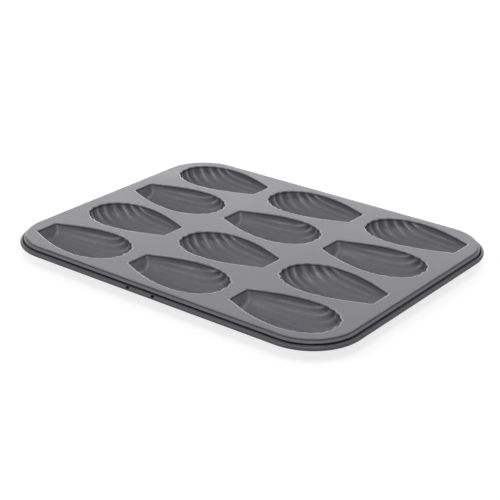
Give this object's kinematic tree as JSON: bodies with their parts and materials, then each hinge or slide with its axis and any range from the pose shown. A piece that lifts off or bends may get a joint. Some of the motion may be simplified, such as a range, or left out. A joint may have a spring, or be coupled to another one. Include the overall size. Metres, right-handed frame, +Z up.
{
  "type": "madeleine pan",
  "caption": "Rectangular baking pan with fluted shell moulds in rows turned end for end, a stepped edge and a wire-rolled rim.",
  "frame": {"origin": "centre of the pan's outline, at the surface that the shell moulds stand on", "axes": "+X along the shells and the pan's long side, +Y across the shells towards the back, +Z up out of the moulds"},
  "size_m": [0.297, 0.231, 0.0163],
  "materials": {
    "coated_sheet": "satin non-stick coating",
    "steel_wire": "drawn"
  },
  "bodies": {
    "root": {"deck_sheet": "coated_sheet", "rolled_rim": "coated_sheet", "rim_wire": "steel_wire", "shell_mould_11": "coated_sheet", "shell_mould_12": "coated_sheet", "shell_mould_13": "coated_sheet", "shell_mould_21": "coated_sheet", "shell_mould_22": "coated_sheet", "shell_mould_23": "coated_sheet", "shell_mould_31": "coated_sheet", "shell_mould_32": "coated_sheet", "shell_mould_33": "coated_sheet", "shell_mould_41": "coated_sheet", "shell_mould_42": "coated_sheet", "shell_mould_43": "coated_sheet"}
  },
  "joints": []
}
